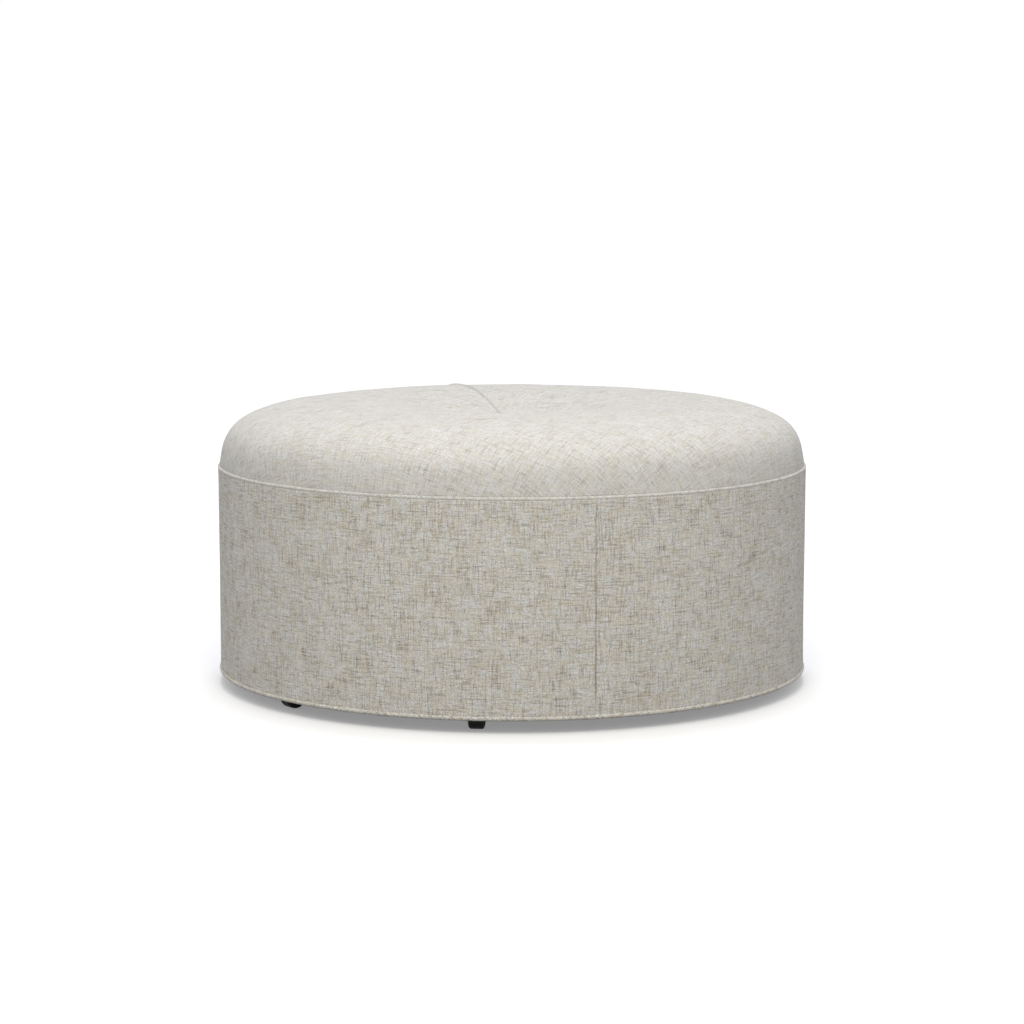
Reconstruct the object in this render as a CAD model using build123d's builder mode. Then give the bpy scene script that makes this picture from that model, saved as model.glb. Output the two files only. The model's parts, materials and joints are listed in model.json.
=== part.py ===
from build123d import *
import os
from math import cos, hypot, radians, sin, sqrt

# A round upholstered ottoman that rolls on a ring of small swivel casters.
# Millimetres, Z up, X to the right, the front faces -Y.
# The origin is on the floor, under the middle of the seat.
# Azimuths are in degrees from the front, growing towards the right.

os.makedirs("parts", exist_ok=True)

# Driving dimensions of the whole piece
band_radius = 508
rim_clearance = 23
band_height = 354
crown_height = 108
dip_depth = 42

# Clearances and the overrun of cuts
lay_gap = 0.3
running_gap = 0.05
cut_overrun = 5

# Cloth, padding and piping
cloth = 1.2
side_pad = 8
wadding = 12
seam_slit = 1
band_seam_azimuth = 17
crown_seam_azimuth = 197
crown_seam_start = 20
welt_radius = 2.8
welt_sleeve = 0.8
welt_mouth = 1
welt_proud = 2.3
crown_inset = 3.6
return_lip = 5

# Wooden frame
board = 18
panel_wall = 6
panel_joint = 1
panel_joint_azimuth = 171
deck_drop = 5
post_count = 8
post_width = 60
post_depth = 30
first_post_azimuth = -7

# Dust cover and staples
dust_cloth = 0.6
dust_margin = 4
staple_crown = 10
staple_wire = 0.9
staple_leg = 14
staple_inset = 6
rim_staple_count = 32
dust_staple_count = 16

# Wood screws
screw_shank = 2
screw_head = 4.2
screw_cone = 2.6
screw_point = 4
screw_length = 45
screw_spread = 30

# Tuft in the middle of the seat
button_radius = 16
button_rise = 8
button_rim = 2
button_socket = 4
twine_radius = 1
anchor_radius = 14
anchor_thickness = 6
knot_radius = 3

# Casters
wheel_radius = 19
wheel_width = 25
tread_round = 4
hub_radius = 7
hub_proud = 0.5
dish_radius = 13
dish_depth = 3
trail = 25
sweep_gap = 7
fork_gap = 2.4
fork_sheet = 2
fork_rear = 14
fork_front = 4
fork_corner = 3
fork_eye = 7
fork_race = 2.2
fork_race_radius = 14
plate_size = 42
plate_thickness = 2.5
plate_corner = 5
plate_race = 2.6
plate_race_radius = 17
kingpin_radius = 4
kingpin_head_radius = 6.5
kingpin_head = 1.6
axle_radius = 3
axle_head_radius = 5
axle_head = 1.2
plate_screw_spread = 32
plate_screw_shank = 1.8
plate_screw_head_radius = 3.4
plate_screw_head = 1.8
plate_screw_length = 15

# Where each fork points at rest: 0 trails straight outward, 180 straight inward
rest_turns = (0, 180, 150, 20, -15, 35, -30, 0)

# Radii of the side, from the cloth inwards
band_inner = band_radius - cloth
pad_outer = band_inner - lay_gap
pad_inner = pad_outer - side_pad
panel_outer = pad_inner - lay_gap
panel_inner = panel_outer - panel_wall
board_radius = panel_inner - lay_gap
welt_ring = band_radius + welt_proud - welt_radius
tuck_outer = welt_ring - welt_radius - lay_gap
tuck_inner = tuck_outer - cloth
return_inner = panel_inner - return_lip

# Levels of the caster, from the floor up
fork_bottom = 2 * wheel_radius + fork_gap
fork_top = fork_bottom + fork_sheet
race_level = fork_top + fork_race + lay_gap
plate_bottom = race_level + plate_race
plate_top = plate_bottom + plate_thickness

# Levels of the frame and the cloth
base_bottom = plate_top + dust_cloth
base_top = base_bottom + board
welt_level = rim_clearance + band_height
deck_top = welt_level - deck_drop
deck_bottom = deck_top - board
band_top = welt_level - welt_radius - lay_gap
rim_welt_level = rim_clearance + welt_radius
step_level = rim_clearance + 2 * welt_radius + lay_gap
panel_bottom = rim_clearance + cloth + lay_gap
crown_radius = band_radius - crown_inset
crest_level = welt_level + crown_height
button_seat = crest_level - dip_depth

# Places round the frame
post_azimuths = [first_post_azimuth + 360 / post_count * k for k in range(post_count)]
post_outer = sqrt(board_radius**2 - (post_width / 2) ** 2)
post_middle = post_outer - post_depth / 2
swivel_circle = return_inner - sweep_gap - hypot(trail + wheel_radius, wheel_width / 2)


def place(radius, azimuth, level=0, turn=0, aside=0):
    """A place at a radius and azimuth, whose X points outward, turned about its Z."""
    out = Vector(sin(radians(azimuth)), -cos(radians(azimuth)), 0)
    across = Vector(cos(radians(azimuth)), sin(radians(azimuth)), 0)
    spot = out * radius + across * aside + Vector(0, 0, level)
    return Location(Plane(origin=spot, x_dir=out, z_dir=(0, 0, 1))) * Location((0, 0, 0), (0, 0, turn))


def save(piece, name):
    piece.part.label = name
    export_step(piece.part, f"parts/{name}.step")


# Fasteners
# Each is drawn with its seat at zero and its point up. Spare makes the hole that it sits in.


def staple_shape(spare=0):
    """A wire staple: the crown lies under the seat plane, the legs go up."""
    with BuildPart() as staple:
        with BuildSketch(Plane.XZ):
            with Locations((0, -staple_wire - spare)):
                Rectangle(staple_crown + 2 * spare, staple_leg + 2 * spare, align=(Align.CENTER, Align.MIN))
            with Locations((0, spare)):
                gap = staple_crown - 2 * (staple_wire + spare)
                Rectangle(gap, staple_leg, align=(Align.CENTER, Align.MIN), mode=Mode.SUBTRACT)
        extrude(amount=staple_wire / 2 + spare, both=True)
    return staple.part


def turned_shape(outline):
    """A solid turned about Z from a list of radius and height pairs."""
    with BuildPart() as turned:
        with BuildSketch(Plane.XZ):
            with BuildLine():
                Polyline(*outline, close=True)
            make_face()
        revolve(axis=Axis.Z)
    return turned.part


def wood_screw_shape(spare=0):
    """A countersunk wood screw with its head flush at zero."""
    shank = screw_shank + spare
    return turned_shape(
        [
            (0, 0),
            (screw_head + spare, 0),
            (shank, screw_cone),
            (shank, screw_length - screw_point),
            (0, screw_length + spare),
        ]
    )


def plate_screw_shape(spare=0):
    """A pan-head screw whose head lies under zero."""
    shank = plate_screw_shank + spare
    head = plate_screw_head_radius + spare
    return turned_shape(
        [
            (0, -plate_screw_head - spare),
            (head, -plate_screw_head - spare),
            (head, spare),
            (shank, spare),
            (shank, plate_screw_length - screw_point),
            (0, plate_screw_length + spare),
        ]
    )


def set_out(shape, places):
    """Copies of one shape at many places, as one part of separate solids."""
    with BuildPart() as group:
        with Locations(*places):
            add(shape)
    return group.part


upside_down = Location((0, 0, 0), (180, 0, 0))
inward = Location((0, 0, 0), (0, -90, 0))
asides = (-screw_spread / 2, screw_spread / 2)

base_screw_places = [place(post_middle, a, base_bottom, aside=s) for a in post_azimuths for s in asides]
deck_screw_places = [
    place(post_middle, a, deck_top, aside=s) * upside_down for a in post_azimuths for s in asides
]
rim_staple_places = [
    place((panel_inner + panel_outer) / 2, 360 / rim_staple_count * k, rim_clearance, turn=90)
    for k in range(rim_staple_count)
]
dust_staple_places = [
    place(board_radius - dust_margin - staple_inset, 360 / dust_staple_count * k, plate_top, turn=90)
    for k in range(dust_staple_count)
]
panel_staple_places = [
    place(panel_outer - staple_wire, azimuth, level) * inward
    for azimuth in post_azimuths
    for level in ((base_bottom + base_top) / 2, (deck_bottom + deck_top) / 2)
]
plate_screw_places = [
    place(swivel_circle, a, plate_bottom) * Location((x, y, 0))
    for a in post_azimuths
    for x in (-plate_screw_spread / 2, plate_screw_spread / 2)
    for y in (-plate_screw_spread / 2, plate_screw_spread / 2)
]

base_screw_holes = set_out(wood_screw_shape(running_gap), base_screw_places)
deck_screw_holes = set_out(wood_screw_shape(running_gap), deck_screw_places)
rim_staple_slots = set_out(staple_shape(running_gap), rim_staple_places)
dust_staple_slots = set_out(staple_shape(running_gap), dust_staple_places)
panel_staple_slots = set_out(staple_shape(running_gap), panel_staple_places)
plate_screw_holes = set_out(plate_screw_shape(running_gap), plate_screw_places)

with BuildPart() as frame_screws:
    add(set_out(wood_screw_shape(), base_screw_places + deck_screw_places))
save(frame_screws, "frame_screws")

with BuildPart() as caster_screws:
    add(set_out(plate_screw_shape(), plate_screw_places))
save(caster_screws, "caster_screws")

with BuildPart() as staples:
    add(set_out(staple_shape(), rim_staple_places + dust_staple_places + panel_staple_places))
save(staples, "staples")


def upright_slit(azimuth, near, width):
    """A thin upright cutter that runs outward from a radius, through the whole height."""
    with BuildPart() as slit:
        with BuildSketch(Plane(place(near, azimuth))):
            Rectangle(band_radius, width, align=(Align.MIN, Align.CENTER))
        extrude(amount=crest_level + cut_overrun)
    return slit.part


# Frame: two plywood discs held apart by posts, with a bent ply wall round them

with BuildPart() as base_board:
    with BuildSketch(Plane.XY.offset(base_bottom)):
        Circle(board_radius)
    extrude(amount=board)
    add(base_screw_holes, mode=Mode.SUBTRACT)
    add(plate_screw_holes, mode=Mode.SUBTRACT)
    add(dust_staple_slots, mode=Mode.SUBTRACT)
    add(panel_staple_slots, mode=Mode.SUBTRACT)
save(base_board, "base_board")

with BuildPart() as deck_board:
    with BuildSketch(Plane.XY.offset(deck_bottom)):
        Circle(board_radius)
        Circle(twine_radius + lay_gap, mode=Mode.SUBTRACT)
    extrude(amount=board)
    add(deck_screw_holes, mode=Mode.SUBTRACT)
    add(panel_staple_slots, mode=Mode.SUBTRACT)
save(deck_board, "deck_board")

for number, azimuth in enumerate(post_azimuths, 1):
    with BuildPart() as frame_post:
        with BuildSketch(Plane(place(post_middle, azimuth, base_top))):
            Rectangle(post_depth, post_width)
        extrude(amount=deck_bottom - base_top)
        add(base_screw_holes, mode=Mode.SUBTRACT)
        add(deck_screw_holes, mode=Mode.SUBTRACT)
    save(frame_post, f"frame_post_{number}")

# The wall is two bent sheets of half a turn each, butted behind the posts
for side, middle_azimuth in (("right", panel_joint_azimuth - 90), ("left", panel_joint_azimuth + 90)):
    with BuildPart() as side_panel:
        with BuildSketch(Plane(place(0, middle_azimuth, panel_bottom))):
            Circle(panel_outer)
            Circle(panel_inner, mode=Mode.SUBTRACT)
            with Locations((panel_joint / 2, 0)):
                other_half = (Align.MAX, Align.CENTER)
                Rectangle(2 * panel_outer, 2 * panel_outer, align=other_half, mode=Mode.SUBTRACT)
        extrude(amount=deck_top - panel_bottom)
        add(rim_staple_slots, mode=Mode.SUBTRACT)
        add(panel_staple_slots, mode=Mode.SUBTRACT)
    save(side_panel, f"side_panel_{side}")

# Side padding: thin foam on the wall, thinner at the foot, where the cloth steps in

with BuildPart() as side_padding:
    add(
        turned_shape(
            [
                (pad_inner, panel_bottom),
                (tuck_inner - lay_gap, panel_bottom),
                (tuck_inner - lay_gap, step_level + cloth + lay_gap),
                (pad_outer, step_level + cloth + lay_gap),
                (pad_outer, deck_top),
                (pad_inner, deck_top),
            ]
        )
    )
save(side_padding, "side_padding")

# Band: one strip of cloth round the side, sewn into a ring by an upright seam.
# At the foot it steps in behind the welt and turns under the wall, where it is stapled.

with BuildPart() as band_cover:
    add(
        turned_shape(
            [
                (band_radius, band_top),
                (band_radius, step_level),
                (tuck_outer, step_level),
                (tuck_outer, rim_clearance),
                (return_inner, rim_clearance),
                (return_inner, rim_clearance + cloth),
                (tuck_inner, rim_clearance + cloth),
                (tuck_inner, step_level + cloth),
                (band_inner, step_level + cloth),
                (band_inner, band_top),
            ]
        )
    )
    add(upright_slit(band_seam_azimuth, return_inner - cut_overrun, seam_slit), mode=Mode.SUBTRACT)
    add(rim_staple_slots, mode=Mode.SUBTRACT)
save(band_cover, "band_cover")

# Welts: a strip of cloth folded round a filler cord, open on its inner side


def welt_shape(level):
    """The folded strip of one welt."""
    with BuildPart() as welt:
        with BuildSketch(Plane.XZ):
            with Locations((welt_ring, level)):
                Circle(welt_radius)
                Circle(welt_radius - welt_sleeve, mode=Mode.SUBTRACT)
                Rectangle(welt_radius, welt_mouth, align=(Align.MAX, Align.CENTER), mode=Mode.SUBTRACT)
        revolve(axis=Axis.Z)
    return welt


save(welt_shape(welt_level), "top_welt")
save(welt_shape(rim_welt_level), "bottom_welt")

with BuildPart() as welt_cords:
    with BuildSketch(Plane.XZ):
        with Locations((welt_ring, welt_level), (welt_ring, rim_welt_level)):
            Circle(welt_radius - welt_sleeve - running_gap)
    revolve(axis=Axis.Z)
save(welt_cords, "welt_cords")

# Seat: a foam cushion, wadding and the crown cloth, laid over each other.
# Crown: radius and height, as shares of the crown's own
crown_shares = (
    (0.995, 0.19),
    (0.985, 0.38),
    (0.966, 0.545),
    (0.935, 0.682),
    (0.9, 0.776),
    (0.845, 0.866),
    (0.76, 0.943),
    (0.66, 0.988),
    (0.56, 1.0),
)
# Dished middle: radius as a share of the crown's, depth as a share of the dip's
dip_shares = ((0.45, 0.05), (0.375, 0.15), (0.27, 0.38), (0.175, 0.62), (0.1, 0.82))


def seat_line(inset):
    """The seat's line at an inset from its outside, from the welt over the crest to the tuft."""
    radius = crown_radius - inset
    height = crown_height - inset
    dip = dip_depth * height / crown_height
    crest = welt_level + height
    spots = [(radius, welt_level)]
    spots += [(radius * u, welt_level + height * v) for u, v in crown_shares]
    spots += [(radius * u, crest - dip * v) for u, v in dip_shares]
    spots += [(button_radius, crest - dip)]
    return Spline(*spots, tangents=((0, 1), (-1, 0)), tangent_scalars=(1, 1))


def seat_layer(inset, thickness):
    """One layer of the seat, down to the deck, with a hole for the twine."""
    hole = twine_radius + lay_gap
    with BuildPart() as layer:
        with BuildSketch(Plane.XZ):
            with BuildLine():
                over = seat_line(inset)
                under = seat_line(inset + thickness)
                Polyline(over @ 0, ((over @ 0).X, deck_top), ((under @ 0).X, deck_top), under @ 0)
                Polyline(over @ 1, (hole, (over @ 1).Y), (hole, (under @ 1).Y), under @ 1)
            make_face()
        revolve(axis=Axis.Z)
    return layer.part


foam_inset = cloth + lay_gap + wadding + lay_gap

with BuildPart() as seat_foam:
    with BuildSketch(Plane.XZ):
        with BuildLine():
            top = seat_line(foam_inset)
            hole = twine_radius + lay_gap
            Polyline(top @ 1, (hole, (top @ 1).Y), (hole, deck_top), ((top @ 0).X, deck_top), top @ 0)
        make_face()
    revolve(axis=Axis.Z)
save(seat_foam, "seat_foam")

with BuildPart() as seat_wadding:
    add(seat_layer(cloth + lay_gap, wadding))
save(seat_wadding, "seat_wadding")

with BuildPart() as top_cover:
    add(seat_layer(0, cloth))
    add(upright_slit(crown_seam_azimuth, crown_seam_start, seam_slit), mode=Mode.SUBTRACT)
save(top_cover, "top_cover")

# Tuft: a covered button, drawn down by a twine that is knotted under the deck

with BuildPart() as tuft_button:
    with BuildSketch(Plane.XZ):
        with BuildLine():
            foot = button_seat + lay_gap
            rim = foot + button_rim
            TangentArc((0, foot + button_rise), (button_radius, rim), tangent=(1, 0))
            Polyline((button_radius, rim), (button_radius, foot), (0, foot), (0, foot + button_rise))
        make_face()
    revolve(axis=Axis.Z)
    with BuildSketch(Plane.XY.offset(foot)):
        Circle(twine_radius + running_gap)
    extrude(amount=button_socket + running_gap, mode=Mode.SUBTRACT)
save(tuft_button, "tuft_button")

with BuildPart() as twine_anchor:
    with BuildSketch(Plane.XY.offset(deck_bottom)):
        Circle(anchor_radius)
        Circle(twine_radius + running_gap, mode=Mode.SUBTRACT)
    extrude(amount=-anchor_thickness)
save(twine_anchor, "twine_anchor")

with BuildPart() as tuft_twine:
    knot_level = deck_bottom - anchor_thickness - knot_radius
    with BuildSketch(Plane.XY.offset(knot_level)):
        Circle(twine_radius)
    extrude(amount=button_seat + lay_gap + button_socket - knot_level)
    with Locations((0, 0, knot_level)):
        Sphere(knot_radius)
save(tuft_twine, "tuft_twine")

# Dust cover: black cloth stapled under the base, with the caster plates screwed on over it

with BuildPart() as dust_cover:
    with BuildSketch(Plane.XY.offset(plate_top)):
        Circle(board_radius - dust_margin)
    extrude(amount=dust_cloth)
    add(plate_screw_holes, mode=Mode.SUBTRACT)
    add(dust_staple_slots, mode=Mode.SUBTRACT)
save(dust_cover, "dust_cover")

# Casters
# Each is drawn round its own upright axis, trailing towards +X, at its real height.

fork_inner = wheel_width / 2 + hub_proud + lay_gap
fork_outer = fork_inner + fork_sheet

with BuildPart() as fork:
    with BuildSketch(Plane.XY.offset(fork_bottom)):
        with Locations((-fork_rear, 0)):
            length = fork_rear + trail + fork_front
            Rectangle(length, 2 * fork_outer, align=(Align.MIN, Align.CENTER))
    extrude(amount=fork_sheet)
    with BuildSketch(Plane.XZ.offset(fork_inner)):
        with Locations((trail, wheel_radius)):
            Circle(fork_eye)
        with Locations((trail + fork_front, fork_top)):
            Rectangle(trail + fork_front, fork_sheet, align=(Align.MAX, Align.MAX))
        make_hull()
    extrude(amount=fork_sheet)
    mirror(about=Plane.XZ)
    with BuildSketch(Plane.XY.offset(fork_top)):
        Circle(fork_race_radius)
    extrude(amount=fork_race)
    fillet(fork.edges().filter_by(Axis.Z).group_by(Axis.X)[0], fork_corner)
    with BuildSketch(Plane.XY):
        Circle(kingpin_radius + running_gap)
    extrude(amount=plate_top, mode=Mode.SUBTRACT)
    with BuildSketch(Plane.XZ):
        with Locations((trail, wheel_radius)):
            Circle(axle_radius + running_gap)
    extrude(amount=fork_outer + cut_overrun, both=True, mode=Mode.SUBTRACT)

with BuildPart() as wheel:
    with BuildSketch(Plane.XZ) as wheel_section:
        Rectangle(wheel_radius, wheel_width, align=(Align.MIN, Align.CENTER))
        fillet(wheel_section.vertices().group_by(Axis.X)[-1], tread_round)
        with Locations((0, wheel_width / 2), (0, -wheel_width / 2)):
            Rectangle(dish_radius, 2 * dish_depth, align=(Align.MIN, Align.CENTER), mode=Mode.SUBTRACT)
        Rectangle(hub_radius, wheel_width + 2 * hub_proud, align=(Align.MIN, Align.CENTER))
        bore = axle_radius + running_gap
        Rectangle(bore, wheel_width + cut_overrun, align=(Align.MIN, Align.CENTER), mode=Mode.SUBTRACT)
    revolve(axis=Axis.Z)

axle_shape = turned_shape(
    [
        (0, -fork_outer - axle_head),
        (axle_head_radius, -fork_outer - axle_head),
        (axle_head_radius, -fork_outer),
        (axle_radius, -fork_outer),
        (axle_radius, fork_outer),
        (axle_head_radius, fork_outer),
        (axle_head_radius, fork_outer + axle_head),
        (0, fork_outer + axle_head),
    ]
)

kingpin_shape = turned_shape(
    [
        (0, fork_bottom - lay_gap - kingpin_head),
        (kingpin_head_radius, fork_bottom - lay_gap - kingpin_head),
        (kingpin_head_radius, fork_bottom - lay_gap),
        (kingpin_radius, fork_bottom - lay_gap),
        (kingpin_radius, plate_top),
        (0, plate_top),
    ]
)

with BuildPart() as plate:
    with BuildSketch(Plane.XY.offset(plate_bottom)):
        RectangleRounded(plate_size, plate_size, plate_corner)
    extrude(amount=plate_thickness)
    with BuildSketch(Plane.XY.offset(race_level)):
        Circle(plate_race_radius)
    extrude(amount=plate_race)
    with BuildSketch(Plane.XY):
        Circle(kingpin_radius + running_gap)
    extrude(amount=plate_top, mode=Mode.SUBTRACT)

with BuildPart() as caster_kingpins:
    add(set_out(kingpin_shape, [place(swivel_circle, azimuth) for azimuth in post_azimuths]))
save(caster_kingpins, "caster_kingpins")

axle_line = Location(Plane(origin=(trail, 0, wheel_radius), x_dir=(1, 0, 0), z_dir=(0, 1, 0)))

for number, (azimuth, turn) in enumerate(zip(post_azimuths, rest_turns), 1):
    fixed = place(swivel_circle, azimuth)
    turned = place(swivel_circle, azimuth, turn=turn)
    with BuildPart() as caster_plate:
        with Locations(fixed):
            add(plate.part)
        add(plate_screw_holes, mode=Mode.SUBTRACT)
    save(caster_plate, f"caster_plate_{number}")
    with BuildPart() as yoke:
        with Locations(turned):
            add(fork.part)
    save(yoke, f"yoke_{number}")
    with BuildPart() as axle:
        with Locations(turned * axle_line):
            add(axle_shape)
    save(axle, f"axle_{number}")
    with BuildPart() as rolling_wheel:
        with Locations(turned * axle_line):
            add(wheel.part)
    save(rolling_wheel, f"wheel_{number}")

print("height at the crest", crest_level, "swivel circle", round(swivel_circle, 1), "caster height", plate_top)
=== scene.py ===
import json
from math import cos, hypot, pi, radians, sin, tau

import bmesh
import bpy
import numpy as np
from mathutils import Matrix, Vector, noise


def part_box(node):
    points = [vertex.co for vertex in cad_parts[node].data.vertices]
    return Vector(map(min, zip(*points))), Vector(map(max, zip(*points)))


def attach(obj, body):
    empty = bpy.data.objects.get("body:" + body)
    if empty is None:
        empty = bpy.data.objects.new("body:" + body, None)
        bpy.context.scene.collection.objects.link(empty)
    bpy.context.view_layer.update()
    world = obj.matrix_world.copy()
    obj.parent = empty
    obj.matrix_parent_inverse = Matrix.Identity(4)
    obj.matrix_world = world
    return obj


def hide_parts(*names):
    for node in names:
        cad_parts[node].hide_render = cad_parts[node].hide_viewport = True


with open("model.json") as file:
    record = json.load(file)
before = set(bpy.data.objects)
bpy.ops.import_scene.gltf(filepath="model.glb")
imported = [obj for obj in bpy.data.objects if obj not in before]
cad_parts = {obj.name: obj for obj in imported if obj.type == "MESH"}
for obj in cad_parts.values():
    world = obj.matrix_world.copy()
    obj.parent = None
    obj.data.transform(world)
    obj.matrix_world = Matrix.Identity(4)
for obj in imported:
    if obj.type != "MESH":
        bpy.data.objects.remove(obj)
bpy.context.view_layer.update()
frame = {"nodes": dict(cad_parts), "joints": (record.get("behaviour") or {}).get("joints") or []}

# Camera
# A long lens in front of the ottoman, a little above the seat, that looks slightly down.
# Its distance, height and tilt come from the ellipses of the two welts in the photograph.
view_distance = 4.955
view_height = 0.932
view_tilt = radians(7.39)
lens_width = 36
lens_length = 101
view_reach = 200

lens = bpy.data.cameras.new("lens")
lens.sensor_width = lens_width
lens.lens = lens_length
lens.clip_end = view_reach
camera = bpy.data.objects.new("camera", lens)
camera.location = (0, -view_distance, view_height)
camera.rotation_euler = (radians(90) - view_tilt, 0, 0)
bpy.context.scene.collection.objects.link(camera)
bpy.context.scene.camera = camera

# Frame boards
# Two birch plywood discs, sawn from sheet: rotary-cut veneer on both faces, and on the rim
# the stacked edges of the plies, light and dark by turns. Two screws through each hold a post.
ply_thickness = 0.0014
board_grain = (0.4, 0.022, 0.4)
fibres_per_stripe = 9
veneer_pore = 0.0002
birch_pale = (222, 196, 152)
birch_deep = (190, 152, 104)
glue_line = (128, 92, 60)


def colour(red, green, blue):
    """A colour as a screen shows it, from 0 to 255, as a shader wants it."""
    shares = [step / 255 for step in (red, green, blue)]
    return [s / 12.92 if s < 0.04045 else ((s + 0.055) / 1.055) ** 2.4 for s in shares] + [1]


class Finish:
    """One material under construction: short calls that add a node and join it up."""

    def __init__(self, name, roughness=0.6, specular=0.5, metallic=0.0):
        self.material = bpy.data.materials.new(name)
        self.material.use_nodes = True
        self.tree = self.material.node_tree
        self.shader = self.tree.nodes["Principled BSDF"]
        self.shader.inputs["Roughness"].default_value = roughness
        self.shader.inputs["Specular IOR Level"].default_value = specular
        self.shader.inputs["Metallic"].default_value = metallic

    def feed(self, socket, value):
        """Joins a socket to a node's output, or sets it."""
        if isinstance(value, bpy.types.NodeSocket):
            self.tree.links.new(value, socket)
        else:
            socket.default_value = value

    def add(self, kind, **settings):
        node = self.tree.nodes.new(kind)
        for key, value in settings.items():
            setattr(node, key, value)
        return node

    def math(self, work, *values):
        node = self.add("ShaderNodeMath", operation=work)
        for socket, value in zip(node.inputs, values):
            self.feed(socket, value)
        return node.outputs[0]

    def place(self, output="Object"):
        return self.add("ShaderNodeTexCoord").outputs[output]

    def scaled(self, spot, x, y, z=0.0):
        """The spot's coordinates, counted in steps of these lengths."""
        node = self.add("ShaderNodeVectorMath", operation="MULTIPLY")
        self.feed(node.inputs[0], spot)
        node.inputs[1].default_value = [1 / step if step else 0 for step in (x, y, z)]
        return node.outputs[0]

    def parts(self, spot):
        node = self.add("ShaderNodeSeparateXYZ")
        self.feed(node.inputs[0], spot)
        return node.outputs

    def joined(self, x, y, z=0.0):
        node = self.add("ShaderNodeCombineXYZ")
        for socket, value in zip(node.inputs, (x, y, z)):
            self.feed(socket, value)
        return node.outputs[0]

    def noise(self, spot, detail=2.0, coarse=0.5, flat=False):
        node = self.add("ShaderNodeTexNoise", noise_dimensions="2D" if flat else "3D")
        self.feed(node.inputs["Vector"], spot)
        node.inputs["Scale"].default_value = 1
        node.inputs["Detail"].default_value = detail
        node.inputs["Roughness"].default_value = coarse
        return node.outputs["Fac"]

    def share(self, value, start, end, low=0.0, high=1.0):
        """How far a value has gone from start to end, eased, between low and high."""
        node = self.add("ShaderNodeMapRange", interpolation_type="SMOOTHSTEP")
        for socket, number in zip(node.inputs, (value, start, end, low, high)):
            self.feed(socket, number)
        return node.outputs[0]

    def blend(self, share, under, over):
        node = self.add("ShaderNodeMix", data_type="RGBA")
        for index, value in ((0, share), (6, under), (7, over)):
            self.feed(node.inputs[index], value)
        return node.outputs[2]

    def paint(self, value):
        self.feed(self.shader.inputs["Base Color"], value)

    def rough(self, value):
        self.feed(self.shader.inputs["Roughness"], value)

    def relief(self, height, depth):
        """Bump from a height of 0 to 1 that stands for this many metres."""
        node = self.add("ShaderNodeBump")
        node.inputs["Strength"].default_value = 1
        node.inputs["Distance"].default_value = depth
        self.feed(node.inputs["Height"], height)
        self.feed(self.shader.inputs["Normal"], node.outputs[0])


def wood_finish(name, grain):
    """Straight-grained wood: grain gives the lengths of its figure along X, Y and Z."""
    wood = Finish(name, roughness=0.62, specular=0.3)
    spot = wood.place()
    figure = wood.noise(wood.scaled(spot, *grain), detail=5, coarse=0.62)
    fine = [step / fibres_per_stripe for step in grain]
    fibre = wood.noise(wood.scaled(spot, *fine), detail=3, coarse=0.6)
    tone = wood.math("ADD", wood.math("MULTIPLY", figure, 0.7), wood.math("MULTIPLY", fibre, 0.3))
    stripe = wood.share(tone, 0.38, 0.62)
    return wood, spot, stripe, fibre


def ring_depth(wood, spot):
    """The distance from the middle of the ottoman."""
    x, y, _ = wood.parts(spot)
    return wood.math("SQRT", wood.math("ADD", wood.math("MULTIPLY", x, x), wood.math("MULTIPLY", y, y)))


def ply_finish(name, grain, bent=False):
    """Birch ply: veneer on the faces, and the plies' own edges where the sheet was sawn."""
    wood, spot, stripe, fibre = wood_finish(name, grain)
    veneer = wood.blend(stripe, colour(*birch_pale), colour(*birch_deep))
    depth = ring_depth(wood, spot) if bent else wood.parts(spot)[2]
    layer = wood.math("PINGPONG", wood.math("DIVIDE", depth, ply_thickness), 1.0)
    band = wood.share(layer, 0.35, 0.65)
    edge = wood.blend(band, colour(*birch_pale), colour(*birch_deep))
    line = wood.share(wood.math("ABSOLUTE", wood.math("SUBTRACT", layer, 0.5)), 0.0, 0.12, 0.6, 0.0)
    edge = wood.blend(line, edge, colour(*glue_line))
    upright = wood.math("ABSOLUTE", wood.parts(wood.add("ShaderNodeNewGeometry").outputs["Normal"])[2])
    sawn = wood.share(upright, 0.3, 0.6) if bent else wood.share(upright, 0.3, 0.6, 1.0, 0.0)
    wood.paint(wood.blend(sawn, veneer, edge))
    wood.rough(wood.share(fibre, 0.3, 0.7, 0.52, 0.72))
    wood.relief(fibre, veneer_pore)
    return wood.material


board_ply = ply_finish("birch_ply_sheet", board_grain)


def give(node, material):
    """A CAD piece keeps its shape and takes this finish."""
    piece = frame["nodes"][node]
    piece.data.materials.clear()
    piece.data.materials.append(material)
    for face in piece.data.polygons:
        face.material_index = 0


for name in ("base_board", "deck_board", "twine_anchor"):
    give(name, board_ply)

# Posts
# Eight blocks of planed pine stand between the boards, glued and screwed through both.
# Their grain runs upright, with the odd knot and the darker lines of late wood.
post_grain = (0.012, 0.012, 0.35)
knot_reach = (0.03, 0.03, 0.06)
pine_pore = 0.0003
pine_pale = (226, 194, 140)
pine_deep = (188, 142, 86)
knot_brown = (112, 72, 40)


def pine_finish(name):
    wood, spot, stripe, fibre = wood_finish(name, post_grain)
    planks = wood.blend(stripe, colour(*pine_pale), colour(*pine_deep))
    knot = wood.noise(wood.scaled(spot, *knot_reach), detail=1)
    wood.paint(wood.blend(wood.share(knot, 0.66, 0.74), planks, colour(*knot_brown)))
    wood.relief(fibre, pine_pore)
    return wood.material


pine = pine_finish("pine_post")
for name in frame["nodes"]:
    if name.startswith("frame_post_"):
        give(name, pine)

# Wall
# Two sheets of bending ply, each half a turn, are stapled round the boards and butted behind
# two of the posts. The plies show as fine rings along the lower edge.
wall_grain = (0.05, 0.05, 0.3)

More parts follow.
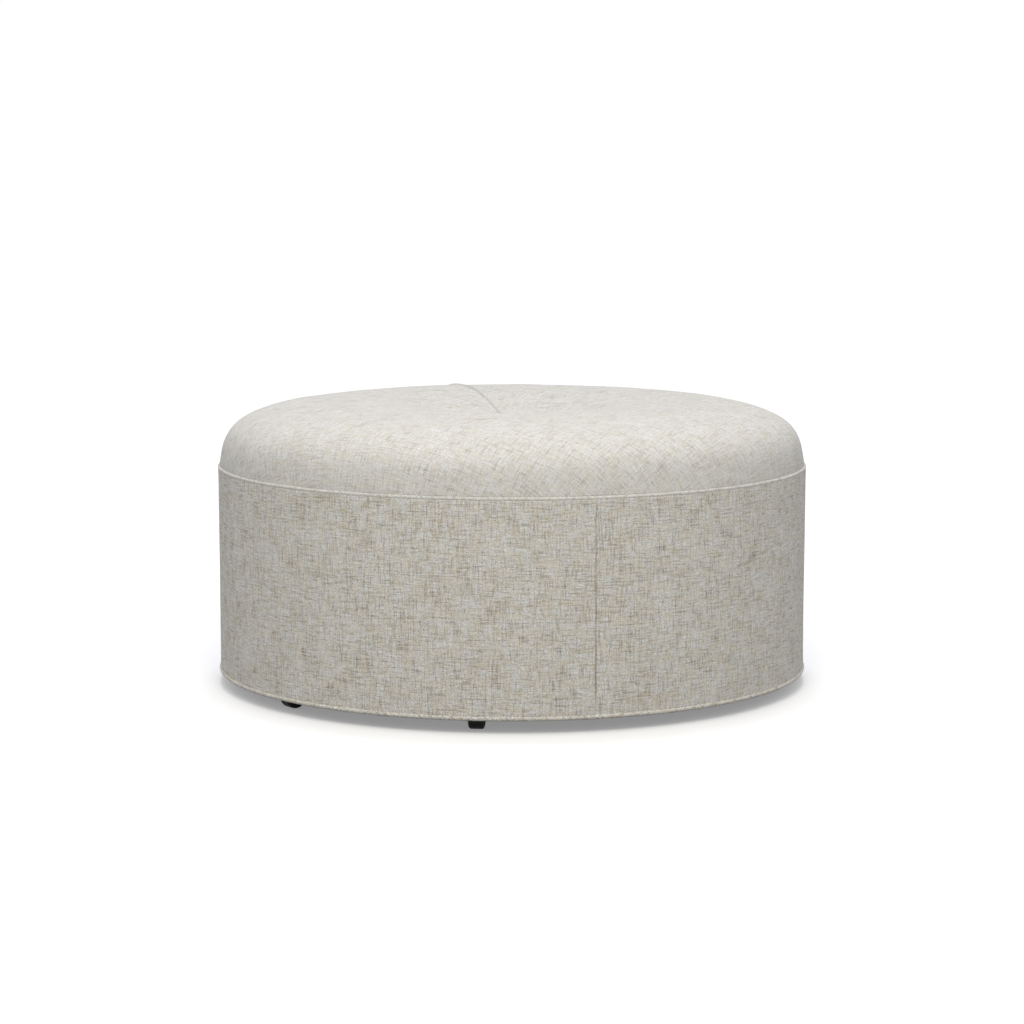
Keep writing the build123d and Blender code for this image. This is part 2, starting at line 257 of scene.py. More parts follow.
wall_ply = ply_finish("birch_ply_bent", wall_grain, bent=True)
for name in ("side_panel_right", "side_panel_left"):
    give(name, wall_ply)

# Screws, staples and rivets
# Bright zinc on steel wire and bar: the screws hold the frame and the casters, and the staples
# hold the wall, the band's return and the black cloth. Handling leaves dull streaks on them.
zinc_patch = 0.004
zinc_streak = (0.0006, 0.0006, 0.004)
streak_depth = 0.00005
zinc_bright = (182, 184, 188)
zinc_dull = (128, 130, 134)


def zinc_finish(name):
    zinc = Finish(name, metallic=1.0)
    spot = zinc.place()
    patch = zinc.noise(zinc.scaled(spot, *[zinc_patch] * 3), detail=3, coarse=0.6)
    streak = zinc.noise(zinc.scaled(spot, *zinc_streak), detail=2)
    zinc.paint(zinc.blend(zinc.share(patch, 0.35, 0.65), colour(*zinc_dull), colour(*zinc_bright)))
    zinc.rough(zinc.share(patch, 0.3, 0.7, 0.5, 0.3))
    zinc.relief(streak, streak_depth)
    return zinc.material


zinc = zinc_finish("zinc_steel")
axles = [name for name in frame["nodes"] if name.startswith("axle_")]
for name in ["frame_screws", "caster_screws", "staples", "caster_kingpins"] + axles:
    give(name, zinc)

# Seat foam
# One thick disc of cream polyurethane foam lies on the deck. It is cut to a crown and the tuft
# draws its middle down, so that the seat has a soft dish inside a high rolled edge.
seat_low, seat_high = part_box("top_cover")
top_welt_low, top_welt_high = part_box("top_welt")
button_low, button_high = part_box("tuft_button")
crown_radius = seat_high.x
deck_level = seat_low.z
welt_level = (top_welt_low.z + top_welt_high.z) / 2
crown_height = seat_high.z - welt_level
button_radius = button_high.x
lay_gap = 0.0003
dip_depth = seat_high.z - button_low.z + lay_gap
twine_hole = 0.0013
skirt_tuck = 0.004
tuck_low = 0.0003
tuck_high = 0.0015
# Crown: radius and height, as shares of the crown's own
crown_shares = (
    (0.995, 0.19),
    (0.985, 0.38),
    (0.966, 0.545),
    (0.935, 0.682),
    (0.9, 0.776),
    (0.845, 0.866),
    (0.76, 0.943),
    (0.66, 0.988),
    (0.56, 1.0),
)
# Dished middle: radius as a share of the crown's, depth as a share of the dip's
dip_shares = ((0.45, 0.05), (0.375, 0.15), (0.27, 0.38), (0.175, 0.62), (0.1, 0.82))
foam_inset = 0.0138
foam_cell = 0.0012
foam_patch = 0.08
foam_pit = 0.0004
foam_cream = (236, 224, 178)
foam_pit_shade_and_patch = (214, 196, 142)
# The steps that the seat's lines are drawn with
line_step = 0.005
flat_step = 0.02
curve_steps = 40
# Steps beside a seam, close where the cloth turns in, and then even ones round the rest
seam_azimuth = radians(197)
seam_steps = (0, 0.0004, 0.0008, 0.0013, 0.002, 0.0034, 0.006)
seam_clear = 0.012
even_steps = 170
# Soft unevenness, as heights and lengths of its swells
seat_swells = ((0.0011, 0.11), (0.0004, 0.035))
swell_fade = 0.03
# Gathers that the tuft's twine pulls into the cloth, and small puckers above the welt
gather_height = 0.0016
gather_reach = 0.028
gather_counts = (13, 21)
gather_shares = (0.6, 0.4)
gather_wander = 0.05
gather_drift = 2
gather_start = 1.3
pucker_height = 0.0003
pucker_fade = 0.01
pucker_rate = 45
pucker_length = 0.02
# The seam's groove, and the low roll on each side of it
seam_depth = 0.0042
seam_width = 0.001
seam_fade = 0.01
roll_height = 0.0005
roll_offset = 0.0042
roll_width = 0.0024


def smooth_line(spots, leave, arrive, step):
    """Points a step apart along the smoothest curve through spots, with the directions of its ends."""
    spots = np.array(spots, float)
    gaps = np.linalg.norm(np.diff(spots, axis=0), axis=1)
    slopes = np.diff(spots, axis=0) / gaps[:, None]
    count = len(spots)
    matrix = np.eye(count)
    goal = np.zeros((count, 2))
    goal[0], goal[-1] = leave, arrive
    for k in range(1, count - 1):
        matrix[k, k - 1 : k + 2] = gaps[k], 2 * (gaps[k - 1] + gaps[k]), gaps[k - 1]
        goal[k] = 3 * (gaps[k] * slopes[k - 1] + gaps[k - 1] * slopes[k])
    tangents = np.linalg.solve(matrix, goal)
    dense = []
    for k in range(count - 1):
        for t in np.linspace(0, 1, curve_steps, endpoint=False):
            start = (1 + 2 * t) * (1 - t) ** 2 * spots[k] + t * (1 - t) ** 2 * gaps[k] * tangents[k]
            end = t * t * (3 - 2 * t) * spots[k + 1] - t * t * (1 - t) * gaps[k] * tangents[k + 1]
            dense.append(start + end)
    return evenly(np.array(dense + [spots[-1]]), step)


def evenly(line, step):
    """The same line with points about a step apart."""
    along = np.concatenate([[0], np.cumsum(np.linalg.norm(np.diff(line, axis=0), axis=1))])
    stops = np.linspace(0, along[-1], max(2, round(along[-1] / step) + 1))
    return np.stack([np.interp(stops, along, line[:, axis]) for axis in (0, 1)], axis=1)


def seat_line(inset, step=line_step):
    """The seat's line from the deck over the crest to the twine's hole, stepped in behind the welt."""
    radius = crown_radius - inset
    height = crown_height - inset
    dip = dip_depth * height / crown_height
    crest = welt_level + height
    spots = [(radius, welt_level)]
    spots += [(radius * u, welt_level + height * v) for u, v in crown_shares]
    spots += [(radius * u, crest - dip * v) for u, v in dip_shares]
    spots += [(button_radius, crest - dip)]
    skirt = evenly(np.array([(radius, deck_level), (radius, welt_level)]), step)
    crown = smooth_line(spots, (0, 1), (-1, 0), step)
    middle = evenly(np.array([(button_radius, crest - dip), (twine_hole, crest - dip)]), step)
    line = np.concatenate([skirt[:-1], crown, middle[1:]])
    rise = np.clip((line[:, 1] - welt_level - tuck_low) / (tuck_high - tuck_low), 0, 1)
    line[:, 0] -= skirt_tuck * (1 - rise * rise * (3 - 2 * rise))
    return line


def round_steps(radius):
    """Angles from a seam, all the way round to the seam again, at this radius."""
    near = [step / max(radius, seam_clear) for step in seam_steps]
    even = np.linspace(near[-1], pi, even_steps + 1)
    half = np.concatenate([near[:-1], even])
    return np.concatenate([half, 2 * pi - half[-2::-1]])


def swells(spot, sizes):
    """Soft unevenness at a spot, from the heights and lengths of its swells."""
    return sum(height * noise.noise(spot / length) for height, length in sizes)


def beside(angle, radius):
    """How far a place lies from the seam, measured round the piece."""
    return min(angle, tau - angle) * radius


def seam_line(aside, depth, roll, offset):
    """The dent of a seam between two low rolls, at this distance beside it."""
    dent = -depth * np.exp(-((aside / seam_width) ** 2))
    return dent + roll * np.exp(-(((aside - offset) / roll_width) ** 2))


def seat_relief(radius, height, angle):
    """How far the seat stands out at a place: unevenness, the tuft's gathers, puckers, the seam."""
    spot = Vector((radius * cos(angle), radius * sin(angle), height))
    gather = gather_height * np.exp(-max(radius - button_radius, 0) / gather_reach)
    drift = gather_drift * noise.noise(spot / gather_wander)
    turns = (gather_counts[0] * angle + drift, gather_counts[1] * angle + gather_start)
    gather *= sum(share * cos(turn) for share, turn in zip(gather_shares, turns))
    above = max(height - welt_level, 0)
    pucker = pucker_height * np.exp(-above / pucker_fade)
    pucker *= noise.noise(Vector((angle * pucker_rate, 0, height / pucker_length)))
    seam = seam_line(beside(angle, radius), seam_depth, roll_height, roll_offset)
    seam *= min(1, max(0, (radius - button_radius) / seam_fade))
    return swells(spot, seat_swells) * min(1, above / swell_fade) + gather + pucker + seam


def outward(line):
    """Unit normals of a line of radius and height, to its left as it climbs from the rim."""
    run = np.gradient(line, axis=0)
    run /= np.linalg.norm(run, axis=1)[:, None]
    return np.stack([run[:, 1], -run[:, 0]], axis=1)


def seat_rows(line, flat=False):
    """The line turned about the middle, a row for each point, with the seat's relief unless flat."""
    rows = []
    for (radius, height), (east, up) in zip(line, outward(line)):
        row = []
        for angle in round_steps(radius)[:-1]:
            rise = 0 if flat else seat_relief(radius, height, angle)
            reach = radius + east * rise
            azimuth = seam_azimuth + angle
            row.append((reach * sin(azimuth), -reach * cos(azimuth), height + up * rise))
        rows.append(row)
    return np.array(rows)


def loop_mesh(name, points, weave):
    """A closed skin from rows and columns that both come round, with the weave's place in metres."""
    rows, columns = points.shape[:2]
    i, j = np.meshgrid(np.arange(rows), np.arange(columns), indexing="ij")
    turns = ((0, 0), (0, 1), (1, 1), (1, 0))
    faces = np.stack([(i + a) % rows * columns + (j + b) % columns for a, b in turns], axis=-1)
    charts = np.stack([weave[i + a, j + b] for a, b in turns], axis=-2)
    flat = points.reshape(-1, 3)
    a, b, c, d = (flat[faces[..., k]] for k in range(4))
    volume = (a * (np.cross(b, c) + np.cross(c, d))).sum()
    if volume < 0:
        faces, charts = faces[..., ::-1], charts[..., ::-1, :]
    mesh = bpy.data.meshes.new(name)
    mesh.from_pydata(flat.tolist(), [], faces.reshape(-1, 4).tolist())
    chart = mesh.uv_layers.new(name="weave")
    chart.data.foreach_set("uv", charts.reshape(-1))
    mesh.polygons.foreach_set("use_smooth", [True] * len(mesh.polygons))
    piece = bpy.data.objects.new(name, mesh)
    bpy.context.scene.collection.objects.link(piece)
    return piece


def closed(weave):
    """A weave's rows with the first again at the end."""
    return np.concatenate([weave, weave[:1]])


def fit(piece, material, slot, *nodes):
    """The finish of a fixed piece, and the CAD pieces that it stands for; the slot is not used."""
    piece.data.materials.append(material)
    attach(piece, "root")
    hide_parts(*nodes)


def foam_finish(name):
    foam = Finish(name, roughness=0.95, specular=0.1)
    spot = foam.place()
    cells = foam.add("ShaderNodeTexVoronoi", feature="DISTANCE_TO_EDGE")
    foam.feed(cells.inputs["Vector"], foam.scaled(spot, *[foam_cell] * 3))
    cells.inputs["Scale"].default_value = 1
    # Painted shade: the low lines along the cell edges, where the relief sinks, are painted darker.
    # Random patches darken the foam a little as well.
    cell = foam.share(cells.outputs["Distance"], 0.0, 0.3)
    patch = foam.noise(foam.scaled(spot, *[foam_patch] * 3), detail=3)
    tone = foam.math("MULTIPLY", cell, foam.share(patch, 0.3, 0.7, 0.7, 1.0))
    foam.paint(foam.blend(tone, colour(*foam_pit_shade_and_patch), colour(*foam_cream)))
    foam.relief(cell, foam_pit)
    return foam.material


def seat_block(name, line, base, flat=False):
    """A solid layer of the seat between its line and a lower one, which may be flat."""
    points = np.concatenate([seat_rows(line), seat_rows(base[::-1], flat)])
    turn = np.linspace(0, tau * crown_radius, points.shape[1] + 1)
    reach = np.arange(points.shape[0]) * flat_step
    weave = np.stack(np.meshgrid(reach, turn, indexing="ij"), axis=-1)[:, :, ::-1]
    return loop_mesh(name, points, closed(weave))


foam_line = seat_line(foam_inset)
foam_foot = evenly(np.array([(foam_line[0][0], deck_level), (twine_hole, deck_level)]), flat_step)
foam_block = seat_block("seat_foam_block", foam_line, foam_foot, flat=True)
fit(foam_block, foam_finish("cream_foam"), "seat_foam", "seat_foam")

# Wadding
# A blanket of white polyester wadding is laid over the foam and glued at its rim, so that the
# cloth slides and the edge of the foam doesn't show through.
wadding_inset = 0.0015
wadding_tuft = 0.012
wadding_fibre = (0.0007, 0.004, 0.002)
fibre_loft = 0.0008
wadding_white = (240, 240, 236)
wadding_shade = (206, 206, 202)


def wadding_finish(name):
    wadding = Finish(name, roughness=1.0, specular=0.05)
    spot = wadding.place()
    tuft = wadding.noise(wadding.scaled(spot, *[wadding_tuft] * 3), detail=6, coarse=0.7)
    fibre = wadding.noise(wadding.scaled(spot, *wadding_fibre), detail=3, coarse=0.7)
    loose = wadding.share(tuft, 0.35, 0.6)
    wadding.paint(wadding.blend(loose, colour(*wadding_shade), colour(*wadding_white)))
    wadding.relief(fibre, fibre_loft)
    return wadding.material


wadding_line = seat_line(wadding_inset)
wadding_under = seat_line(foam_inset - lay_gap)
wadding_layer = seat_block("seat_wadding_layer", wadding_line, wadding_under)
fit(wadding_layer, wadding_finish("white_wadding"), "wadding", "seat_wadding")

# Seat cloth
# Linen-look upholstery cloth, cut as a flat disc with one wedge out and closed by one seam that
# runs straight from the tuft to the welt. The disc lies aslant to the threads, and it is drawn
# tight over the wadding and stapled to the deck, so it is smooth but for gathers at the button.
cloth_thickness = 0.001
disc_share = 0.95
thread_slant = radians(45)
# The foot of its line, behind the welt, is drawn with finer steps than the rest
foot_reach = 0.006
foot_step = 0.0005
foot_steps_each = 8
# Weave: the pitch of the yarns, and how thick and thin places, stray yarns and tones run along them
yarn_pitch = 0.0012
yarn_swell = 0.0004
slub_length = 0.026
slub_share = 0.6
stray_length = 0.09
stray_rise = 0.07
cloud_reach = 0.05
cloud_rise = 0.1
wash_reach = 0.016
wash_share = 0.4
gap_share = 0.36
# Where each set of yarns, and each yarn in it, takes its place in the noise
yarn_seeds = (3.7, 91.3)
yarn_apart = 7.31
stray_apart = 5.3
drift_across = 0.45
drift_along = 0.8
linen_light = (250, 250, 249)
linen_grey = (236, 235, 231)
linen_tan = (210, 203, 189)
linen_fleck = (148, 129, 103)
linen_wash = (238, 228, 202)
linen_gap_shade = (112, 104, 90)
# The tone that the seat's lit copy of the cloth is drawn to, and how far: painted light for the bright
# top
seat_lit_tone = (215, 214, 211)
seat_lit_calm = 0.35


def ramp(cloth, value, stops):
    """A run of colours: each stop is where it stands and its colour."""
    node = cloth.add("ShaderNodeValToRGB")
    cloth.feed(node.inputs[0], value)
    stretch = node.color_ramp.elements
    while len(stretch) < len(stops):
        stretch.new(1)
    for element, (spot, shade) in zip(stretch, stops):
        element.position = spot
        element.color = colour(*shade)
    return node.outputs[0]


def linen_finish(name, calm=0.0):
    """Plain weave of slubbed yarns: each has its own run of tones, with clusters of tan flecks.

    Calm is how far all tones are drawn to one even, neutral tone: painted light, for the evener look
    of the cloth where strong light falls on the seat.
    """
    linen = Finish(name, roughness=0.9, specular=0.15)
    linen.shader.inputs["Sheen Weight"].default_value = 0.05
    linen.shader.inputs["Sheen Roughness"].default_value = 0.45
    chart = linen.add("ShaderNodeUVMap", uv_map="weave").outputs[0]
    across, along, _ = linen.parts(chart)
    cloud = linen.noise(linen.scaled(chart, cloud_reach, cloud_reach), detail=3, coarse=0.6, flat=True)
    shift = linen.math("MULTIPLY_ADD", cloud, cloud_rise, -cloud_rise / 2)
    counts, yarns, tones = [], [], []
    for cross, run, seed in zip((across, along), (along, across), yarn_seeds):
        count = linen.math("DIVIDE", cross, yarn_pitch)
        yarn = linen.math("FLOOR", count)
        # Slubs of the yarn's own, and a drift that it shares with the yarns beside it
        reach = linen.math("DIVIDE", run, slub_length)
        own = linen.joined(linen.math("MULTIPLY_ADD", yarn, yarn_apart, seed), reach)
        slub = linen.noise(own, detail=3, coarse=0.65, flat=True)
        beyond = linen.math("MULTIPLY", reach, drift_along)
        near = linen.joined(linen.math("MULTIPLY_ADD", count, drift_across, seed), beyond)
        drift = linen.math("MULTIPLY", linen.noise(near, detail=2, coarse=0.6, flat=True), 1 - slub_share)
        tone = linen.math("ADD", linen.math("MULTIPLY", slub, slub_share), drift)
        # A few yarns are paler or darker than the rest for a stretch
        lot = linen.add("ShaderNodeTexWhiteNoise", noise_dimensions="1D")
        linen.feed(lot.inputs["W"], linen.math("ADD", yarn, seed))
        pale = linen.share(lot.outputs["Value"], 0.9, 0.96, 0.0, stray_rise)
        dark = linen.share(lot.outputs["Value"], 0.04, 0.1, -stray_rise, 0.0)
        stretch = linen.math("DIVIDE", run, stray_length)
        span = linen.joined(linen.math("MULTIPLY", yarn, stray_apart), stretch)
        span = linen.share(linen.noise(span), 0.42, 0.58)
        stray = linen.math("MULTIPLY", linen.math("ADD", pale, dark), span)
        tones.append(linen.math("ADD", linen.math("ADD", tone, shift), stray))
        counts.append(count)
        yarns.append(yarn)
    stops = ((0.36, linen_fleck), (0.44, linen_tan), (0.51, linen_grey), (0.64, linen_light))
    over = linen.math("PINGPONG", linen.math("ADD", *yarns), 1)
    cloth = linen.blend(over, *(ramp(linen, tone, stops) for tone in tones))
    hue = linen.noise(linen.scaled(chart, wash_reach, wash_reach), detail=2, coarse=0.7, flat=True)
    cloth = linen.blend(linen.share(hue, 0.38, 0.68, 0.0, wash_share), cloth, colour(*linen_wash))
    # Painted shade of the gaps between the yarns: each crossing is darkened towards the gap colour by a
    # random share.
    crossing = linen.add("ShaderNodeTexWhiteNoise", noise_dimensions="2D")
    linen.feed(crossing.inputs["Vector"], linen.joined(*yarns))
    gap = linen.share(crossing.outputs["Value"], 0, 1, gap_share, 0.0)
    cloth = linen.blend(gap, cloth, colour(*linen_gap_shade))
    linen.paint(linen.blend(calm, cloth, colour(*seat_lit_tone)))
    crowns = [linen.math("ABSOLUTE", linen.math("SINE", linen.math("MULTIPLY", c, pi))) for c in counts]
    linen.relief(linen.math("SQRT", linen.math("MULTIPLY", *crowns)), yarn_swell)
    return linen.material


linen = linen_finish("linen_look_cloth")
# The seat's lit copy: painted light that evens its tones for the brightly lit top.
seat_linen = linen_finish("linen_look_seat_lit", seat_lit_calm)


def cloth_section(line, thickness):
    """A line and the same line a thickness inside it, as one closed section."""
    inner = line - outward(line) * thickness
    return line, inner[::-1]


def cloth_path():
    """The cloth's line, with fine steps at its foot and only some of them after that."""
    fine = seat_line(0, step=foot_step)
    foot = np.arange(len(fine)) < np.argmax(fine[:, 1] > welt_level + foot_reach)
    return np.concatenate([fine[foot], fine[~foot][::foot_steps_each], fine[-1:]])


cloth_line, cloth_inner = cloth_section(cloth_path(), cloth_thickness)
seat_skin = np.concatenate([seat_rows(cloth_line), seat_rows(cloth_inner)])
cloth_runs = np.linalg.norm(np.diff(cloth_line[::-1], axis=0), axis=1)
cloth_reach = np.concatenate([[0], np.cumsum(cloth_runs)])[::-1]
reaches = np.concatenate([cloth_reach, cloth_reach[::-1]])
radii = np.concatenate([cloth_line[:, 0], cloth_inner[:, 0]])
seat_weave = []
for reach, radius in zip(reaches, radii):
    turned = disc_share * (round_steps(radius) - pi) + thread_slant
    seat_weave.append(np.stack([reach * np.cos(turned), reach * np.sin(turned)], axis=1))
seat_cloth = loop_mesh("seat_cloth", seat_skin, closed(np.array(seat_weave)))
fit(seat_cloth, seat_linen, "linen_cloth", "top_cover")

# Tuft button
# A domed metal button covered in the same cloth, whose rim is pleated round the shell. The
# twine through its loop goes down to a wooden washer and a knot under the deck.
button_steps = 16
button_columns = 96
button_pleats = 18
pleat_depth_share = 0.035
base_shares = (0.04, 0.5, 0.9)
button_height = button_high.z - button_low.z
twine_lay = 0.004
twine_strand = 0.0004
twine_cream = (206, 192, 160)
twine_groove_shade = (150, 134, 102)

button_rows, button_weave = [], []
for k in range(button_steps + 1):
    lean = pi / 2 * (1 - k / button_steps)
    row, charts = [], []
    for turn in range(button_columns + 1):
        angle = tau * turn / button_columns
        fold = 0.5 + 0.5 * cos(button_pleats * angle)
        radius = button_radius * sin(lean) ** 0.8 * (1 - pleat_depth_share * fold * sin(lean) ** 6)
        level = button_low.z + button_height * cos(lean) ** 0.85
        row.append((radius * cos(angle), radius * sin(angle), level))
        charts.append((radius * cos(angle), radius * sin(angle)))
    button_rows.append(row[:-1])
    button_weave.append(charts)
base_rows = []
for share in base_shares:
    base_rows.append([(x * share, y * share, button_low.z) for x, y, _ in button_rows[0]])
button_rows = np.array(base_rows + button_rows)
button_rows[-1, :, :2] *= 0
button_weave = np.array([button_weave[0]] * len(base_rows) + button_weave)
tuft_button = loop_mesh("covered_button", button_rows, closed(button_weave))
fit(tuft_button, linen, "linen_cloth", "tuft_button")


def twine_finish(name):
    """Two strands laid up: stripes that climb round the twine, with painted shade in the grooves between
    the strands.
    """
    twine = Finish(name, roughness=0.85, specular=0.15)
    x, y, z = twine.parts(twine.place())
    turn = twine.math("DIVIDE", twine.math("ARCTAN2", y, x), tau)
    climb = twine.math("MULTIPLY_ADD", z, 1 / twine_lay, turn)
    lay = twine.math("SINE", twine.math("MULTIPLY", climb, tau * 2))
    strand = twine.math("MULTIPLY_ADD", lay, 0.5, 0.5)
    twine.paint(twine.blend(strand, colour(*twine_groove_shade), colour(*twine_cream)))
    twine.relief(strand, twine_strand)
    return twine.material


twine = twine_finish("cotton_twine")
give("tuft_twine", twine)

# Side padding
# A thin sheet of the same foam is glued round the wall, so that the band feels soft and the
# staples don't show. It thins at the foot, where the band steps in behind the lower welt.
pad_low, pad_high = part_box("side_padding")
pad_thickness = 0.008
pad_foot = 0.0018
pad_step = 0.006
pad_press = 0.0015
pad_furrow = 0.0044
furrow_width = 0.0026
section_step = 0.012
band_seam_azimuth = radians(15.2)
pad_inner = pad_high.x - pad_thickness
pad_outer = pad_high.x - pad_press
pad_outline = [
    (pad_inner, pad_low.z),
    (pad_inner + pad_foot, pad_low.z),
    (pad_inner + pad_foot, pad_low.z + pad_step),
    (pad_outer, pad_low.z + pad_step),
    (pad_outer, pad_high.z),
    (pad_inner, pad_high.z),
    (pad_inner, pad_low.z),
]


def turned_rows(section, relief):
    """A closed section turned about the middle, from the band's seam round to it again."""
    rows = []
    for spot in section:
        radius, height = spot
        row = []
        for angle in round_steps(radius)[:-1]:
            azimuth = band_seam_azimuth + angle
            reach = radius + relief(spot, angle)
            row.append((reach * sin(azimuth), -reach * cos(azimuth), height))
        rows.append(row)
    return np.array(rows)


def turned_weave(section, radius):
    """The weave's place on a turned section: along the strip, and up it."""
    along = radius * round_steps(radius)
    runs = np.linalg.norm(np.diff(section, axis=0), axis=1)
    up = np.concatenate([[0], np.cumsum(runs)])
    return np.stack(np.meshgrid(up, along, indexing="ij"), axis=-1)[:, :, ::-1]


def pad_relief(spot, angle):
    """The band's seam presses a furrow into the outer side of the padding behind it."""
    if spot[0] <= pad_outer - lay_gap:
        return 0
    return -pad_furrow * np.exp(-((beside(angle, pad_outer) / furrow_width) ** 2))


pad_section = evenly(np.array(pad_outline), section_step)[:-1]
pad_rows = turned_rows(pad_section, pad_relief)
side_pad = loop_mesh("side_padding_sheet", pad_rows, closed(turned_weave(pad_section, pad_outer)))
fit(side_pad, foam_block.data.materials[0], "seat_foam", "side_padding")

# Band
# One strip of the cloth goes round the side, its threads upright and level, and is sewn into a
# ring by one upright seam. It is drawn down, stepped in behind the lower welt, and turned under
# the wall, where staples hold it.
band_low, band_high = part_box("band_cover")
rim_welt_low, rim_welt_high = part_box("bottom_welt")
welt_radius = (top_welt_high.z - top_welt_low.z) / 2
rim_welt_level = (rim_welt_low.z + rim_welt_high.z) / 2
band_radius = band_high.x
welt_ring = top_welt_high.x - welt_radius
foot_ring = welt_ring - 0.0024
foot_welt = 0.0038
tuck_radius = foot_ring - foot_welt - lay_gap
# The rolled shoulder below the top welt, its lip turned in, and the corner over the lower one
shoulder = 0.0036
shoulder_lift = 0.0004
shoulder_turn = 42
shoulder_steps = 8
lip_in = 0.001
lip_up = 0.0014
foot_corner = 0.0003
step_slope = 0.0002
# How far the drawn cloth lies inside its widest line: at its top, at its foot, and more midway
top_draw = 0.0006
foot_draw = 0.0012
mid_draw = 0.0003
draw_steps = 61
first_share = 0.015
# What is turned in under the wall, and what the seam of the top welt takes up
return_width = 0.0138
return_corner = 0.0015
return_middle = 0.006
# Soft unevenness, which fades over a twelfth at each end, and the seam drawn in between low rolls
band_swells = ((0.0006, 0.13), (0.0002, 0.03))
band_fade = 12
band_seam_depth = 0.0038
band_roll_height = 0.0004
band_roll_offset = 0.004


def arc(middle, radius, start, end, steps):
    """Points round an arc: its angles are in degrees from outward, growing upward."""
    turns = np.radians(np.linspace(start, end, steps))
    return [(middle[0] + radius * cos(t), middle[1] + radius * sin(t)) for t in turns]


band_top = band_high.z
step_level = rim_welt_high.z + lay_gap
shoulder_spot = (band_radius - top_draw - shoulder, band_top + shoulder_lift - shoulder)
foot_radius = band_radius - foot_draw
band_outline = [(shoulder_spot[0] - lip_in, shoulder_spot[1] + lip_up)]
band_outline += arc(shoulder_spot, shoulder, shoulder_turn, 0, shoulder_steps)
for share in np.linspace(first_share, 1, draw_steps):
    draw = top_draw + (foot_draw - top_draw) * share + mid_draw * sin(pi * share)
    level = shoulder_spot[1] + (step_level + foot_corner - shoulder_spot[1]) * share
    band_outline.append((band_radius - draw, level))
band_outline += arc((foot_radius - foot_corner, step_level + foot_corner), foot_corner, -20, -80, 3)
band_outline += [(tuck_radius, step_level - step_slope), (tuck_radius, rim_welt_level)]
under_spot = (tuck_radius - return_corner, band_low.z + return_corner)
band_outline += arc(under_spot, return_corner, 0, -90, 4)
band_outline += [(tuck_radius - return_middle, band_low.z), (tuck_radius - return_width, band_low.z)]
band_outline = np.array(band_outline)


def band_relief(spot, angle):
    """The band's own shape: soft unevenness, and the seam drawn in."""
    height = spot[1]
    up = (height - step_level) / (band_top - step_level)
    if not 0 < up < 1:
        return 0
    ease = min(1, band_fade * up, band_fade * (1 - up))
    azimuth = band_seam_azimuth + angle
    point = Vector((band_radius * cos(azimuth), band_radius * sin(azimuth), height))
    seam = seam_line(beside(angle, band_radius), band_seam_depth, band_roll_height, band_roll_offset)
    return ease * (swells(point, band_swells) + seam)


def band_inside(line, thickness):
    """The band's inner side, from its foot back up."""
    return (line - outward(line[::-1])[::-1] * thickness)[::-1]


band_section = np.concatenate([band_outline, band_inside(band_outline, cloth_thickness)])
band_chart = turned_weave(band_outline, band_radius)
band_chart = np.concatenate([band_chart, band_chart[::-1]])
band_cloth = loop_mesh("band_cloth", turned_rows(band_section, band_relief), closed(band_chart))
fit(band_cloth, linen, "linen_cloth", "band_cover")

# Welts
# Bias strips of the cloth, folded round a laid cotton cord and sewn into the seam between seat
# and band, and along the foot. The seams draw them in, so that they stand hardly proud, and the
# pull of the band draws the top one down a little.
welt_columns = 1440
welt_sides = 25
sleeve = 0.0007
mouth = radians(20)
top_ring = welt_ring - 0.0034
top_welt_radius = 0.0036
top_settle = 0.0023
# How they wander in, out, up and down, and swell and thin, on their way round
wander_in = 0.0001
wander_up = 0.0003
wander_rate = 9
plumpness = 0.05
plump_rate = 31
plump_start = 3
# The cord: a ring of three strands
cord_radius = 0.0019
cord_columns = 2400
cord_sides = 18
cord_lay = 0.009
cord_strands = 3
strand_waist = 0.86


def welt_rows(ring, level, thickness, seed):
    """One welt's skin, and the place of its bias-cut threads."""
    turns = np.linspace(pi - mouth, -pi + mouth, welt_sides)
    loop = [(turn, thickness) for turn in turns] + [(turn, thickness - sleeve) for turn in turns[::-1]]
    skin, charts = [], []
    along = np.linspace(0, tau, welt_columns + 1)
    around = Vector((0, 0, seed))
    wander = [noise.noise(around + wander_rate * Vector((cos(a), sin(a), 0))) for a in along]
    plump = [noise.noise(around + plump_rate * Vector((cos(a), sin(a), plump_start))) for a in along]
    for turn, size in loop:
        row, chart = [], []
        for a, shift, fat in zip(along, wander, plump):
            radius = size * (1 + plumpness * fat)
            reach = ring + radius * cos(turn) + wander_in * shift
            row.append((reach * cos(a), reach * sin(a), level + radius * sin(turn) + wander_up * shift))
            chart.append((ring * a + size * turn, ring * a - size * turn))
        skin.append(row[:-1])
        charts.append(chart)
    return np.array(skin), np.array(charts) * sin(radians(45))


def cord_rows(ring, level):
    """A cord of strands laid up together, round a ring."""
    lays = round(tau * ring / cord_lay)
    rows = []
    for turn in np.linspace(0, tau, cord_sides, endpoint=False):
        row = []
        for a in np.linspace(0, tau, cord_columns, endpoint=False):
            bulge = abs(cos(cord_strands / 2 * (turn + lays * a / cord_strands)))
            radius = cord_radius * (strand_waist + (1 - strand_waist) * bulge)
            reach = ring + radius * cos(turn)
            row.append((reach * cos(a), reach * sin(a), level + radius * sin(turn)))
        rows.append(row)
    return np.array(rows)


